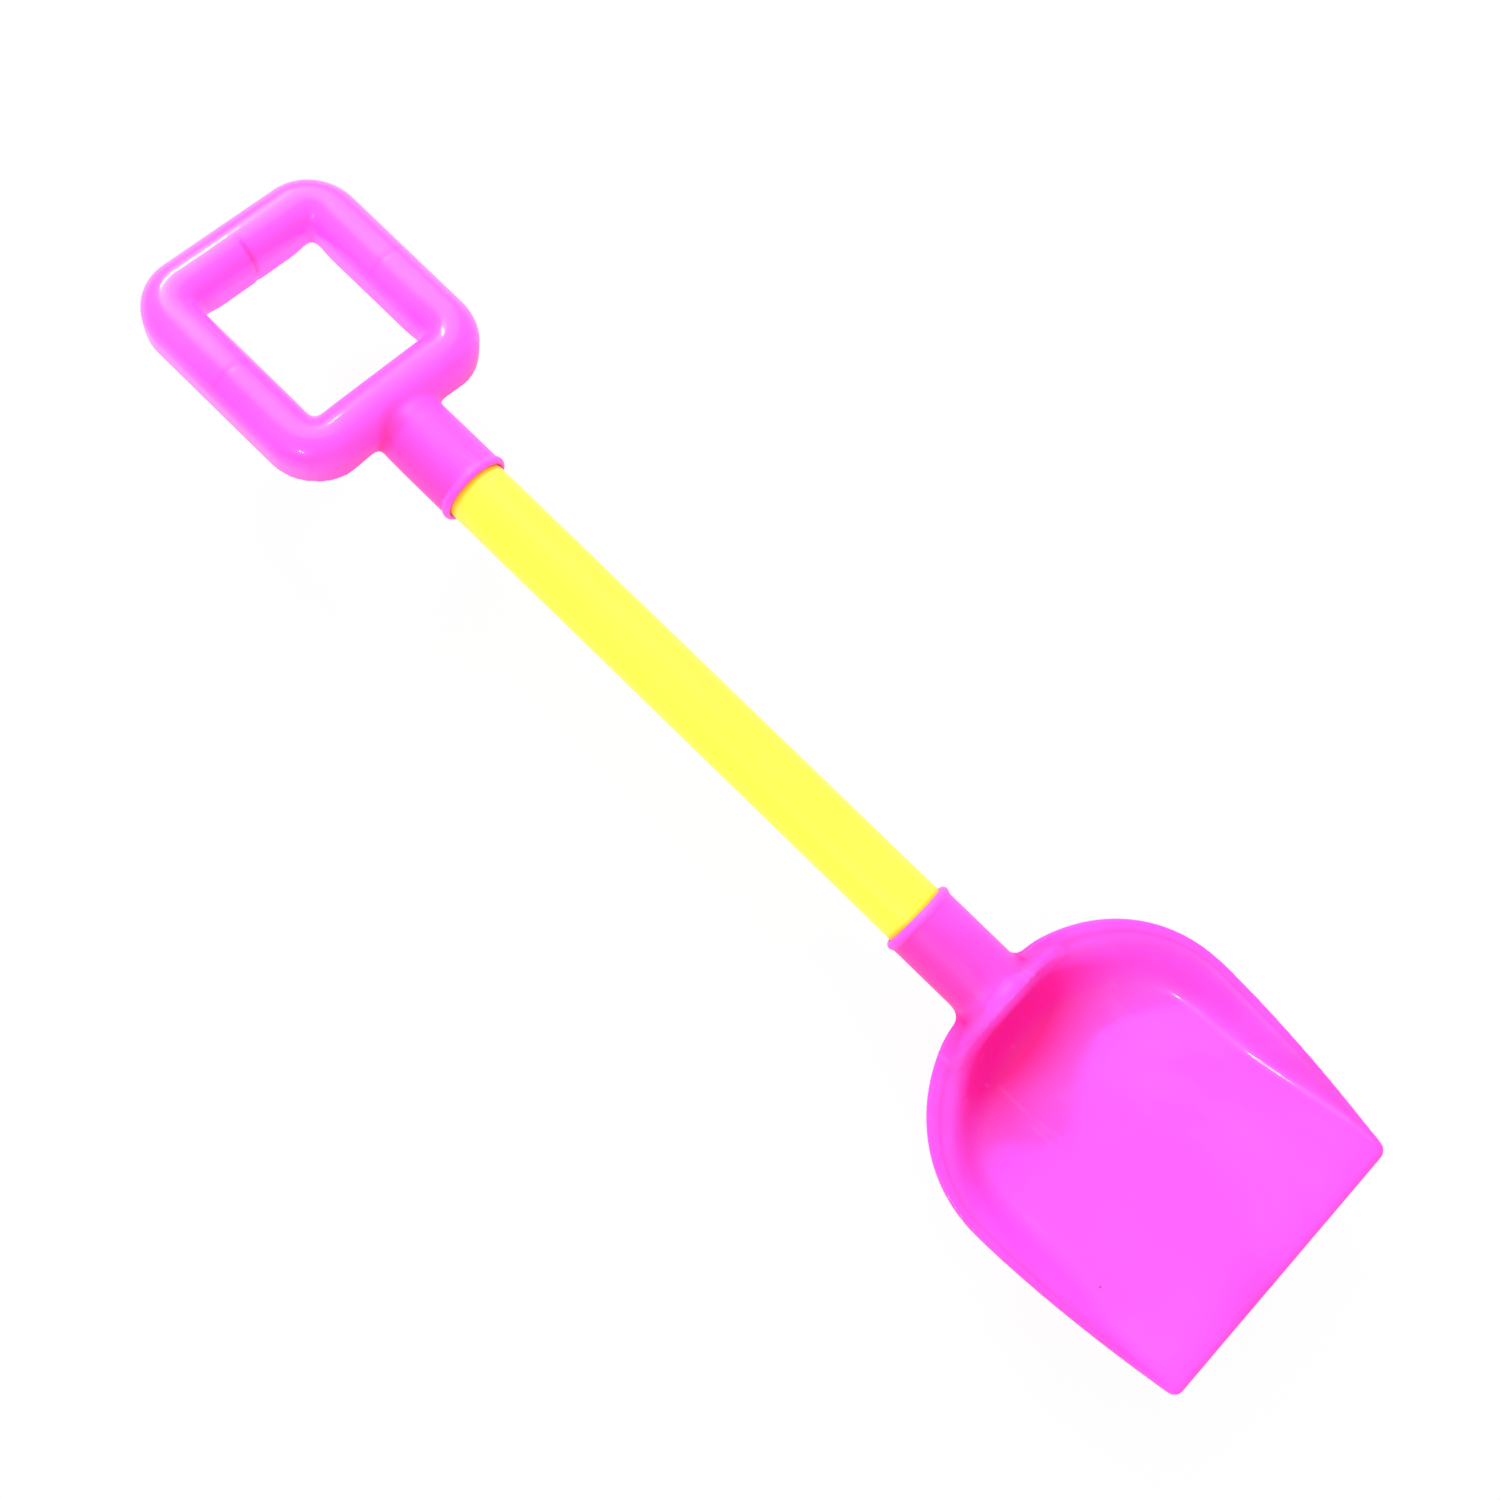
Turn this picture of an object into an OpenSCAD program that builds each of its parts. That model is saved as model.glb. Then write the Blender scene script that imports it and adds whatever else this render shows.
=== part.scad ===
// Sand shovel: a moulded scoop blade and a moulded ring grip pushed onto the two ends of a round tube.
// Millimetres. +X runs along the tube from the grip to the blade, +Z is the open side of the scoop.
// The origin is the middle of the bottom of the shovel's own box.

/* [Tube] */
// Outside diameter of the tube
tube_d = 22; // [18:0.5:26]
// Wall of the tube
tube_wall = 1.4; // [1:0.1:2.5]
// Length of tube that shows between the two sockets
tube_show = 195; // [120:5:400]

/* [Sockets] */
// Wall of both sockets
socket_wall = 1.45; // [1.2:0.05:2.5]
// Radius of the bead round each mouth
bead_r = 1.6; // [1.2:0.1:2]
// How far the bead stands out of its socket
bead_proud = 0.7; // [0.4:0.1:1]
// Chamfer inside each mouth
mouth_chamfer = 0.6; // [0.3:0.1:1]
// Gap all round between the tube and both bores
fit_gap = 0.05; // [0.02:0.01:0.1]
// Gap behind the tube's end in the grip, so that the grip can turn
turn_gap = 0.3; // [0.3:0.1:1]
// Length of tube inside the blade's socket
blade_seat = 28; // [20:1:34]
// Length of tube inside the grip's socket
grip_seat = 30; // [20:1:30]

/* [Blade] */
// Length of the socket from its mouth to the back of the blade
blade_socket = 30; // [24:1:40]
// Length of the blade from its back to its front edge
blade_len = 126.5; // [110:0.5:150]
// Width of the blade at its widest
blade_w = 115.5; // [100:0.5:130]
// How much narrower the blade is at its front corners
blade_taper = 13.6; // [6:0.2:24]
// Distance from the back of the blade to its widest place
blade_wide_at = 50.5; // [44:0.5:58]
// Radius of the two front corners
corner_r = 4; // [3:0.5:8]
// Thickness of the moulded wall
blade_wall = 2; // [1.6:0.1:3]
// Thickness left at the front edge
cut_edge = 0.8; // [0.5:0.1:1.4]
// Depth of the floor under the rim where the back wall ends
floor_depth = 20.5; // [14:0.5:28]
// Depth of the floor under the rim behind the front bevel
floor_front = 0.4; // [0:0.1:2]
// Width of the bevel behind the front edge
front_bevel = 3.5; // [2.5:0.1:4]
// Width of the side wall and its fillet, seen from above
side_zone = 16; // [12:0.5:20]
// Width of the back wall and its fillet, seen from above
back_zone = 30; // [24:0.5:36]
// Width of the flat rim at the back
rim_back = 3.8; // [3:0.1:5]
// Width of the flat rim at the widest place
rim_side = 2.6; // [2:0.1:3.6]
// Width of the flat rim at the front corners
rim_front = 1.2; // [1:0.1:1.6]
// Height of the small step inside the flat rim
rim_step = 0.4; // [0.2:0.1:0.8]
// Width of the rounded shoulder between the rim and the back wall
shoulder_back = 4.2; // [3:0.1:5.5]
// Width of the shoulder at the widest place
shoulder_side = 1.6; // [1.2:0.1:3]
// Height of the brow that closes the socket, above the rim
brow_h = 15.2; // [14:0.1:18]
// Half of the brow's span across the blade
brow_half = 30; // [24:0.5:36]
// Radius of the webs between the socket's sides and the rim
web_r = 5; // [3:0.1:6]
// Lean of the socket's hidden end, along the back wall
socket_lean = 17; // [14:0.5:20]

/* [Grip] */
// Turn of the grip about the tube, as photographed
grip_turn = -11; // [-30:1:30]
// Length of the ring along the tube
grip_len = 89.4; // [76:0.2:110]
// Width of the ring
grip_w = 83.2; // [72:0.2:100]
// Width of the ring's bars
bar_w = 18.2; // [15:0.2:20]
// Depth of the ring's bars
bar_depth = 15.2; // [14:0.1:20]
// Height of the ring's front over the middle of the tube
bar_front = 14.2; // [13:0.1:15]
// Radius along the front edges of the bars
crown_r = 8.6; // [5:0.1:8.8]
// Wall of the hollow bars
bar_wall = 2; // [1.6:0.1:3]
// Inside radius of the ring's corners
ring_inner_r = 0.6; // [0.4:0.1:5]
// Thickness of the cross ribs inside the bars
rib_t = 1.6; // [1:0.1:2.4]
// How far the ribs stop short of the open back
rib_back = 2.5; // [1:0.1:5]
// Length of the socket from its mouth to the ring
grip_socket = 31; // [28:0.2:40]
// How far the socket's closed end reaches into the ring
grip_root = 3; // [2.4:0.1:3.4]
// Radius round the socket's closed end
dome_r = 4; // [3:0.1:4.4]
// Radius of the flare between the socket's sides and the ring
flare_r = 3.4; // [2:0.1:4]

/* [Finish] */
// Colour of the moulded blade and grip
mould_color = [1, 0.38, 0.93]; // 3 numbers
// Colour of the tube
tube_color = [1, 0.93, 0.2]; // 3 numbers
// Facets of round shapes
round_steps = 96; // [48:8:160]

/* [Hidden] */
$fn = round_steps;

// overrun of cuts past the surface they open
over = bead_r;

bore_r = tube_d/2 + fit_gap;
socket_r = bore_r + socket_wall;
bead_mid_r = socket_r + bead_proud - bead_r;

// places along the tube, counted from the mouth of the blade's socket
blade_back = blade_socket;
grip_mouth = -tube_show;
ring_front = grip_mouth - grip_socket;
ring_back = ring_front - grip_len;
ring_mid = (ring_front + ring_back)/2;
tube_start = grip_mouth - grip_seat;
tube_len = grip_seat + tube_show + blade_seat;
overall_mid = (ring_back + blade_back + blade_len)/2;

// the blade's loft: stations along each part of its outline and rings from the rim to the floor
front_steps = 6;
corner_steps = 5;
side_steps = 14;
back_steps = 30;
rim_rings = 4;
shoulder_rings = 4;
wall_rings = 12;

blade_half = blade_w/2;
floor_run = blade_len - front_bevel - back_zone;
floor_slope = (floor_depth - floor_front)/floor_run;
floor_wall = blade_wall*sqrt(1 + floor_slope*floor_slope);

// shape numbers of the outline and of the wall's profile
outline_pow = 2.1;
taper_pow = 1.7;
back_pow = 1.4;
wall_start_pow = 1.45;
wall_end_pow = 2.5;
ring_pow = 1.2;
rise_pow = 4;
root_share = 0.3;
fall_share = 0.36;
front_pow = 3;
rim_front_share = 0.25;
side_run_share = 0.4;
step_share = 0.08;
slope_step_share = 0.01;
fillet_lap_share = 0.04;
crown_share = 0.48;

function ease(t) = let (c = min(1, max(0, t))) c*c*(3 - 2*c);
function unit(v) = v/norm(v);

// half width of the blade in front of its widest place, and how fast it falls
taper_run = blade_len - corner_r - blade_wide_at;
function side_y(x) = blade_half - blade_taper/2*pow((x - blade_wide_at)/taper_run, taper_pow);
function side_fall(x) = blade_taper/2*taper_pow/taper_run*pow((x - blade_wide_at)/taper_run, taper_pow - 1);

// the corner arc ends where it meets the side
corner_turn = atan(1/side_fall(blade_len - corner_r));
corner_end_x = blade_len - corner_r + corner_r*cos(corner_turn);
corner_mid_y = side_y(corner_end_x) - corner_r*sin(corner_turn);

// half of the outline from the middle of the front to the middle of the back, each place with its normal
front_edge = [for (k = [0:front_steps - 1])
    [[blade_len, corner_mid_y*k/front_steps], [1, 0]]];
front_corner = [for (k = [0:corner_steps - 1])
    let (a = corner_turn*k/corner_steps)
    [[blade_len - corner_r + corner_r*cos(a), corner_mid_y + corner_r*sin(a)], [cos(a), sin(a)]]];
long_side = [for (k = [0:side_steps - 1])
    let (x = corner_end_x + (blade_wide_at - corner_end_x)*k/side_steps)
    [[x, side_y(x)], unit([side_fall(x), 1])]];
back_arc = [for (k = [0:back_steps])
    let (a = 90*pow(1 - k/back_steps, back_pow))
    let (c = pow(cos(a), 2/outline_pow), s = pow(sin(a), 2/outline_pow))
    [[blade_wide_at*(1 - c), blade_half*s],
     unit([-pow(c, outline_pow - 1)/blade_wide_at, pow(s, outline_pow - 1)/blade_half])]];
half_outline = concat(front_edge, front_corner, long_side, back_arc);
half_count = len(half_outline) - 1;
outline = concat(half_outline, [for (k = [half_count - 1:-1:1])
    let (p = half_outline[k]) [[p[0].x, -p[0].y], [p[1].x, -p[1].y]]]);
stations = len(outline);

// the floor is a plane that rises to the front
function floor_z(x) = -floor_front - floor_slope*(blade_len - front_bevel - x);
// share of a place that belongs to the front edge
function front_share(p) = pow(max(0, p[1].x), front_pow);
// height of the brow at a place on the outline
function brow_z(p) = p[0].x < blade_wide_at ? brow_h*pow(cos(90*min(1, abs(p[0].y)/brow_half)), 2) : 0;
// widths seen from above: the flat rim, rim and shoulder, and all of it down to the floor
function fore(p) = ease((blade_len - p[0].x)/(blade_len - blade_wide_at));
function aft(p) = ease((blade_wide_at - p[0].x)/blade_wide_at);
function rim_w(p) = (rim_front + (rim_side - rim_front)*fore(p) + (rim_back - rim_side)*aft(p))
    *(1 - (1 - rim_front_share)*front_share(p));
function shoulder_w(p) = rim_w(p) + (1 - front_share(p)/2)
    *(rim_front*rim_front_share + shoulder_side*fore(p) + (shoulder_back - shoulder_side)*aft(p));
function zone_w(p) = front_bevel
    + (side_zone - front_bevel)*ease((blade_len - corner_r - p[0].x)/(side_run_share*blade_len))
    + (back_zone - side_zone)*aft(p);
// height of the rim's outer edge
function rim_z(p) = front_share(p)*(floor_z(p[0].x) - floor_wall + cut_edge);
// share of the way from the rim's height down to the floor, at a distance d in from the outline
function down_share(p, d) = let (f = shoulder_w(p), u = min(1, max(0, (d - f)/(zone_w(p) - f))))
    1 - pow(1 - pow(u, wall_start_pow), wall_end_pow);
function dish_z(p, d) = let (s = down_share(p, d)) rim_z(p)*(1 - s) + floor_z(p[0].x - p[1].x*d)*s;
function dish_slope(p, d) =
    let (e = slope_step_share*zone_w(p))
    (dish_z(p, d + e) - dish_z(p, d - e))/(2*e);
// the brow starts at the outline behind the socket, and inside the flat rim on either side of it
function brow_root(p) = rim_w(p)*ease((abs(p[0].y)/socket_r - root_share)/(1 - root_share));
function brow_at(p, d) = let (c = shoulder_w(p), a = brow_root(p),
    t = min(1, max(0, (d - a)/(c - a))), u = (d - c)/(zone_w(p) - c))
    brow_z(p)*(1 - pow(1 - t, rise_pow))*(1 - ease(u/fall_share));
function step_at(p, d) = d > rim_w(p) ? rim_step*(1 - down_share(p, d))*(1 - front_share(p)) : 0;

// ring places: the flat rim, the step and shoulder, then the wall down to the floor
rings = rim_rings + shoulder_rings + wall_rings;
function ring_d(p, k) = let (f = rim_w(p), c = shoulder_w(p))
    k <= rim_rings ? f*k/rim_rings
    : k <= rim_rings + shoulder_rings ? f + (c - f)*max(step_share, (k - rim_rings - 1)/(shoulder_rings - 1))
    : c + (zone_w(p) - c)*pow((k - rim_rings - shoulder_rings)/wall_rings, ring_pow);

function on_blade(p, d, z) = [p[0].x - p[1].x*d, p[0].y - p[1].y*d, z];
function top_ring(k) = [for (p = outline) let (d = ring_d(p, k))
    on_blade(p, d, k == rings ? floor_z(p[0].x - p[1].x*d) : dish_z(p, d) - step_at(p, d) + brow_at(p, d))];

// the underside keeps the wall's thickness and runs flat under the front edge
function under_z(p, d) = let (s = dish_slope(p, d), q = front_share(p))
    (dish_z(p, d) - blade_wall*sqrt(1 + s*s))*(1 - q) + (floor_z(p[0].x - p[1].x*d) - floor_wall)*q;
function under_ring(k) = [for (p = outline) let (d = ring_d(p, k))
    on_blade(p, d, k == rings ? floor_z(p[0].x - p[1].x*d) - floor_wall : under_z(p, d))];

top_points = [for (k = [0:rings]) each top_ring(k)];
under_points = [for (k = [0:rings]) each under_ring(k)];
under_start = len(top_points);
function top_id(k, i) = k*stations + i%stations;
function under_id(k, i) = under_start + top_id(k, i);

top_faces = [for (k = [0:rings - 1], i = [0:stations - 1]) each
    [[top_id(k, i), top_id(k + 1, i + 1), top_id(k, i + 1)],
     [top_id(k, i), top_id(k + 1, i), top_id(k + 1, i + 1)]]];
under_faces = [for (k = [0:rings - 1], i = [0:stations - 1]) each
    [[under_id(k, i), under_id(k, i + 1), under_id(k + 1, i + 1)],
     [under_id(k, i), under_id(k + 1, i + 1), under_id(k + 1, i)]]];
edge_faces = [for (i = [0:stations - 1]) each
    [[top_id(0, i), top_id(0, i + 1), under_id(0, i + 1)],
     [top_id(0, i), under_id(0, i + 1), under_id(0, i)]]];
floor_top = [[for (i = [stations - 1:-1:0]) top_id(rings, i + half_count)]];
floor_under = [[for (i = [0:stations - 1]) under_id(rings, i + half_count)]];

// height of the tube's middle over the lowest place of the blade
axis_z = -min([for (p = under_points) p.z]);

// from places along the tube to the shovel's own frame
module in_frame() {
    translate([-overall_mid, 0, axis_z])
        children();
}

module along_x() {
    rotate([0, 90, 0])
        children();
}

// the lofted scoop: rim, brow, walls and floor as one closed skin
module scoop() {
    polyhedron(
        points = concat(top_points, under_points),
        faces = concat(top_faces, under_faces, edge_faces, floor_top, floor_under),
        convexity = 6);
}

// a round socket along +X from its mouth at 0, with a beaded mouth
module socket_solid(length) {
    along_x()
        cylinder(r = socket_r, h = length);
    mouth_bead();
}

// the same with a closed, rounded end
module domed_socket(length, r) {
    along_x() {
        cylinder(r = socket_r, h = length - r);
        rotate_extrude()
            translate([0, length - r]) {
                square([socket_r - r, r]);
                intersection() {
                    translate([socket_r - r, 0])
                        circle(r = r);
                    square([socket_r, r]);
                }
            }
    }
    mouth_bead();
}

module mouth_bead() {
    translate([bead_r, 0, 0])
        along_x()
            rotate_extrude()
                translate([bead_mid_r, 0])
                    circle(r = bead_r);
}

module socket_bore(depth) {
    along_x()
        cylinder(r = bore_r, h = depth);
    translate([-over, 0, 0])
        along_x()
            cylinder(r = bore_r, h = over + bead_r);
    along_x()
        cylinder(r1 = bore_r + mouth_chamfer, r2 = bore_r, h = mouth_chamfer);
}

// a fillet in the corner between sides along +X and +Y, rooted in both, its arc run a little way into them
module corner_fillet(r, root) {
    difference() {
        translate([-root, -root])
            square(r + root);
        translate([r, r])
            circle(r = r*(1 + fillet_lap_share));
    }
}

// the socket runs under the brow and ends on a lean that follows the back wall
brow_crest = rim_back + shoulder_back;
socket_reach = blade_back + brow_crest + shoulder_back;
module blade_socket_solid() {
    difference() {
        socket_solid(socket_reach + socket_r);
        translate([socket_reach, 0, 0])
            rotate([0, -socket_lean, 0])
                translate([0, -socket_r - over, -2*socket_r])
                    cube([2*socket_r, 2*(socket_r + over), 4*socket_r]);
    }
}

// webs in the plane of the rim, from the socket's sides to the back of the blade
web_back = blade_wide_at*(1 - pow(1 - pow((socket_r + web_r)/blade_half, outline_pow), 1/outline_pow));
module rim_webs() {
    for (s = [0, 1])
        mirror([0, s, 0])
            translate([blade_back + web_back, socket_r, -blade_wall])
                mirror([1, 0, 0])
                    linear_extrude(blade_wall)
                        corner_fillet(web_r, socket_wall/2);
}

module blade() {
    color(mould_color)
        in_frame()
            difference() {
                union() {
                    translate([blade_back, 0, 0])
                        scoop();
                    blade_socket_solid();
                    rim_webs();
                }
                socket_bore(blade_seat);
            }
}

module tube() {
    color(tube_color)
        in_frame()
            translate([tube_start, 0, 0])
                along_x()
                    difference() {
                        cylinder(d = tube_d, h = tube_len);
                        translate([0, 0, -over])
                            cylinder(r = tube_d/2 - tube_wall, h = tube_len + 2*over);
                    }
}

// section of a bar without its hollow: straight sides, rounded front, back at 0
module bar_shape(w, h, r) {
    translate([-w/2, 0])
        square([w, h - r]);
    translate([-w/2 + r, 0])
        square([w - 2*r, h]);
    intersection() {
        for (s = [-1, 1])
            translate([s*(w/2 - r), h - r])
                circle(r = r);
        translate([-w/2, 0])
            square([w, h]);
    }
}

bar_crown = min(crown_r, crown_share*bar_w);
module bar_section() {
    difference() {
        bar_shape(bar_w, bar_depth, bar_crown);
        translate([0, -over])
            bar_shape(bar_w - 2*bar_wall, bar_depth - bar_wall + over, bar_crown - bar_wall);
    }
}

// a cross rib, let into the walls by half their thickness
module bar_rib() {
    rotate([90, 0, 0])
        translate([0, 0, -rib_t/2])
            linear_extrude(rib_t)
                difference() {
                    bar_shape(bar_w - bar_wall, bar_depth - bar_wall/2, bar_crown - bar_wall/2);
                    translate([-bar_w/2, -over])
                        square([bar_w, over + rib_back]);
                }
}

ring_bend_r = ring_inner_r + bar_w/2;
ring_half_x = (grip_len - bar_w)/2;
ring_half_y = (grip_w - bar_w)/2;

// a straight bar along Y, with its outer side towards +X
module straight_bar(length) {
    translate([0, length/2, 0])
        rotate([90, 0, 0])
            linear_extrude(length)
                bar_section();
}

module ring() {
    for (s = [0, 180])
        rotate([0, 0, s]) {
            translate([ring_half_x, 0, 0]) {
                straight_bar(2*(ring_half_y - ring_bend_r));
                bar_rib();
            }
            translate([0, ring_half_y, 0])
                rotate([0, 0, 90]) {
                    straight_bar(2*(ring_half_x - ring_bend_r));
                    bar_rib();
                }
        }
    for (sx = [-1, 1], sy = [-1, 1])
        translate([sx*(ring_half_x - ring_bend_r), sy*(ring_half_y - ring_bend_r), 0])
            rotate([0, 0, sx > 0 ? (sy > 0 ? 0 : 270) : (sy > 0 ? 90 : 180)]) {
                rotate_extrude(angle = 90)
                    translate([ring_bend_r, 0])
                        bar_section();
                rotate([0, 0, 45])
                    translate([ring_bend_r, 0, 0])
                        bar_rib();
            }
}

// flare from the socket to the ring's side, which dies out where the ring's front turns round
ring_low = bar_front - bar_depth;
flare_top = bar_front - bar_crown/2;
flare_drop = flare_r*socket_r/flare_top;
module ring_flare() {
    intersection() {
        translate([ring_front, 0, -flare_drop])
            along_x()
                rotate_extrude()
                    translate([socket_r, 0])
                        corner_fillet(flare_r, bar_wall/2);
        translate([ring_front - bar_wall, -grip_w/2, ring_low])
            cube([bar_wall + flare_r, grip_w, flare_top - ring_low]);
    }
}

module grip() {
    color(mould_color)
        in_frame()
            rotate([grip_turn, 0, 0])
                difference() {
                    union() {
                        translate([ring_mid, 0, ring_low])
                            ring();
                        ring_flare();
                        translate([grip_mouth, 0, 0])
                            mirror([1, 0, 0])
                                domed_socket(grip_socket + grip_root, dome_r);
                    }
                    translate([grip_mouth, 0, 0])
                        mirror([1, 0, 0])
                            socket_bore(grip_seat + turn_gap);
                }
}

blade();
tube();
grip();
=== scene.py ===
"""Looks of a child's sand shovel: a glossy pink scoop and ring grip on a satin yellow tube."""

import logging
import math
from dataclasses import dataclass, field
from enum import Enum

import bpy
import numpy as np
from mathutils import Euler, Matrix, Vector


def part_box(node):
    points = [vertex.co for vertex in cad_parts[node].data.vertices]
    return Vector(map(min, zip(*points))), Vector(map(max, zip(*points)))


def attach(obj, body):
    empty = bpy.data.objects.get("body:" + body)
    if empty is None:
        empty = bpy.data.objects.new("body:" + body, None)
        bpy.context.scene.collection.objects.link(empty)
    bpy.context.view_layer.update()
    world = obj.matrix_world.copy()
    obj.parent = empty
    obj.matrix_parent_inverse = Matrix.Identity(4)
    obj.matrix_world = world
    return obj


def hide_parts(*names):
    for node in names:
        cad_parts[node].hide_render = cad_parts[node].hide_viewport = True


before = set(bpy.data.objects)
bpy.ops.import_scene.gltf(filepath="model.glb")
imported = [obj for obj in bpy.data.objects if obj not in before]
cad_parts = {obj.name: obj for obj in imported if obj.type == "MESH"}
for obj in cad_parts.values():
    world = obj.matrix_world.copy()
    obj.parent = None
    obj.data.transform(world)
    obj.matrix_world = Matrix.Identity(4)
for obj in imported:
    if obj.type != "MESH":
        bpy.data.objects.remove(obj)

MM = 0.001
LOG = logging.getLogger("sand_shovel")
BLADE_NODE, TUBE_NODE, GRIP_NODE = "blade", "tube", "grip"

Colour = tuple[float, float, float, float]
Place = tuple[float, float, float]
Turn = tuple[float, float, float]


class Body(Enum):
    """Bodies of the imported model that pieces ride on."""

    ROOT = "root"
    GRIP = "grip"


class Slot(Enum):
    """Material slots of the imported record."""

    MOULD = "mould"
    TUBE = "tube"


class Socket(Enum):
    """Kinds of socket on a shader node group."""

    COLOUR = "NodeSocketColor"
    VALUE = "NodeSocketFloat"
    VECTOR = "NodeSocketVector"


class Mark(Enum):
    """Values that a piece keeps for each vertex and its finish reads."""

    EDGE = "edge"
    # Share of painted shade: the colour is mixed toward the finish's shade colour by it.
    THICK = "thick"
    GLOSS = "gloss"


@dataclass(frozen=True)
class Bell:
    """A smooth bell over a distance: 1 in its middle and about a third at its reach."""

    middle: float
    reach: float

    def over(self, distance: np.ndarray) -> np.ndarray:
        """Gives values from 0 to 1."""
        return np.exp(-np.square((distance - self.middle) / self.reach))


@dataclass(frozen=True)
class Ramp:
    """A straight ramp: 0 up to its start and 1 from its end on."""

    start: float
    end: float

    def over(self, values: np.ndarray) -> np.ndarray:
        """Gives values from 0 to 1."""
        return np.clip((values - self.start) / (self.end - self.start), 0, 1)


def deselect_all() -> None:
    """Leaves no object selected."""
    bpy.ops.object.select_all(action="DESELECT")


def pick(piece: bpy.types.Object) -> None:
    """Makes one object the only selected and the active one.

    Args:
        piece: The object to pick.
    """
    deselect_all()
    piece.select_set(True)
    bpy.context.view_layer.objects.active = piece


def apply_modifiers(piece: bpy.types.Object) -> None:
    """Applies all modifiers of a piece in their order.

    Args:
        piece: The object whose modifiers are applied.
    """
    pick(piece)
    for name in [modifier.name for modifier in piece.modifiers]:
        bpy.ops.object.modifier_apply(modifier=name)


def points_of(piece: bpy.types.Object) -> np.ndarray:
    """Reads the places of a mesh's vertices.

    Args:
        piece: A mesh object.

    Returns:
        One row of three coordinates for each vertex.
    """
    places = np.zeros(len(piece.data.vertices) * 3)
    piece.data.vertices.foreach_get("co", places)
    return places.reshape(-1, 3)


def normals_of(piece: bpy.types.Object) -> np.ndarray:
    """Reads the normals of a mesh's vertices.

    Args:
        piece: A mesh object.

    Returns:
        One unit vector for each vertex.
    """
    normals = np.zeros(len(piece.data.vertices) * 3)
    piece.data.vertices.foreach_get("normal", normals)
    return normals.reshape(-1, 3)


def weigh(piece: bpy.types.Object, name: str, weights: np.ndarray) -> None:
    """Gives a piece a vertex group with one weight for each vertex.

    Args:
        piece: A mesh object.
        name: Name of the vertex group.
        weights: Weights from 0 to 1.
    """
    least = 0.01
    group = piece.vertex_groups.new(name=name)
    for index in np.nonzero(weights > least)[0]:
        group.add([int(index)], float(weights[index]), "REPLACE")


def axis_height() -> float:
    """Height of the tube's axis."""
    low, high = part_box(TUBE_NODE)
    return (low.z + high.z) / 2


def tube_radius() -> float:
    """Radius of the tube's solid."""
    low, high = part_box(TUBE_NODE)
    return (high.y - low.y) / 2


class NodeTree:
    """A short way to add and link shader nodes."""

    def __init__(self, tree: bpy.types.NodeTree) -> None:
        """Keeps the tree that nodes are added to.

        Args:
            tree: The tree of a material, a world or a node group.
        """
        self.tree = tree

    def add(self, kind: str, **settings: object) -> bpy.types.Node:
        """Adds a node.

        Args:
            kind: Type name of the node.
            settings: Properties of the node by name.

        Returns:
            The new node.
        """
        node = self.tree.nodes.new(kind)
        for name, value in settings.items():
            setattr(node, name, value)
        return node

    def link(self, start: bpy.types.NodeSocket, end: bpy.types.NodeSocket) -> None:
        """Links an output to an input."""
        self.tree.links.new(start, end)

    def feed(self, end: bpy.types.NodeSocket, value: object) -> None:
        """Links a socket, or sets a plain value, on an input.

        Args:
            end: The input.
            value: An output socket, or a number or colour.
        """
        if isinstance(value, bpy.types.NodeSocket):
            self.link(value, end)
        else:
            end.default_value = value

    def mark(self, mark: Mark) -> bpy.types.NodeSocket:
        """Reads a value that the piece keeps for each vertex."""
        return self.add("ShaderNodeAttribute", attribute_name=mark.value).outputs["Fac"]

    def math(self, operation: str, first: object, second: object) -> bpy.types.NodeSocket:
        """Adds a Math node.

        Args:
            operation: Name of the operation.
            first: First input.
            second: Second input.

        Returns:
            The result.
        """
        node = self.add("ShaderNodeMath", operation=operation)
        self.feed(node.inputs[0], first)
        self.feed(node.inputs[1], second)
        return node.outputs[0]

    def ramp(self, value: bpy.types.NodeSocket, span: tuple[float, float] = (0.0, 1.0),
             to: tuple[float, float] = (0.0, 1.0)) -> bpy.types.NodeSocket:
        """Maps a range of values smoothly onto another.

        Args:
            value: The value to map.
            span: Values at the two ends of the range.
            to: What the two ends become.

        Returns:
            The mapped value.
        """
        node = self.add("ShaderNodeMapRange", interpolation_type="SMOOTHSTEP")
        self.link(value, node.inputs["Value"])
        node.inputs["From Min"].default_value, node.inputs["From Max"].default_value = span
        node.inputs["To Min"].default_value, node.inputs["To Max"].default_value = to
        return node.outputs["Result"]

    def noise(self, place: bpy.types.NodeSocket, scale: object, detail: float = 2.0,
              warp: float = 0.0) -> bpy.types.NodeSocket:
        """Adds a Noise texture on given coordinates.

        Args:
            place: Coordinates.
            scale: Waves per metre.
            detail: Octaves.
            warp: Distortion.

        Returns:
            The noise value.
        """
        node = self.add("ShaderNodeTexNoise")
        self.link(place, node.inputs["Vector"])
        self.feed(node.inputs["Scale"], scale)
        node.inputs["Detail"].default_value = detail
        node.inputs["Distortion"].default_value = warp
        return node.outputs["Fac"]

    def mix(self, share: object, first: object, second: object) -> bpy.types.NodeSocket:
        """Mixes two colours.

        Args:
            share: Share of the second colour.
            first: First colour.
            second: Second colour.

        Returns:
            The mixed colour.
        """
        share_input, first_input, second_input, result = 0, 6, 7, 2
        node = self.add("ShaderNodeMix", data_type="RGBA", blend_type="MIX")
        self.feed(node.inputs[share_input], share)
        self.feed(node.inputs[first_input], first)
        self.feed(node.inputs[second_input], second)
        return node.outputs[result]


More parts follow.
